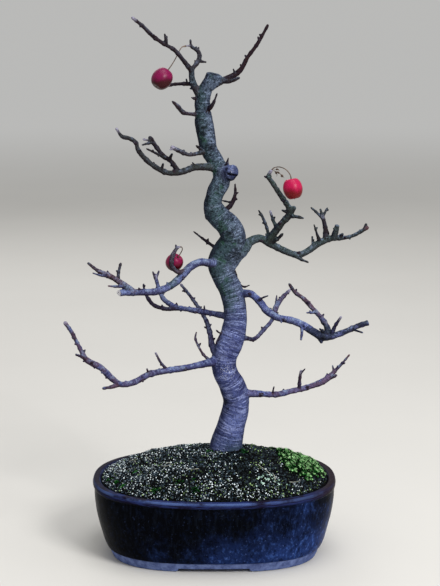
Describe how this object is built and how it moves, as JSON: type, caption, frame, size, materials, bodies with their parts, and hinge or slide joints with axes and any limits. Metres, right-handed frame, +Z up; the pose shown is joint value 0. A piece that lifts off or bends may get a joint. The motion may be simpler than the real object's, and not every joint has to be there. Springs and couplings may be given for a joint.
{
  "type": "apple bonsai in an oval pot",
  "caption": "Winter-bare crabapple bonsai with a curving trunk, layered branches and small crimson fruit, in a low oval glazed pot with feet.",
  "frame": {"origin": "middle of the object's footprint, which is the middle of the pot, on the surface that the pot stands on", "axes": "+Z up the trunk, +X to the right of the tree's front, +Y away from the front"},
  "size_m": [0.3048, 0.185, 0.5379],
  "materials": {
    "glaze": "deep navy reactive glaze with lighter blue speckle, gloss, over an unglazed grey-violet foot",
    "soil": "dark gritty potting mix with pale and green flecks, matt",
    "bark": "grey-violet bark with fine cross bands and green algae, matt",
    "fruit": "deep crimson skin, satin",
    "stalk": "thin dried stalk, matt",
    "screen": "dark plastic net, matt"
  },
  "bodies": {
    "root": {"pot": "glaze", "drain_screen_left": "screen", "drain_screen_right": "screen", "soil": "soil", "tree": "bark", "crabapple_top": "fruit", "crabapple_right": "fruit", "crabapple_left": "fruit", "stalk_top": "stalk", "stalk_right": "stalk", "stalk_left": "stalk"}
  },
  "joints": []
}
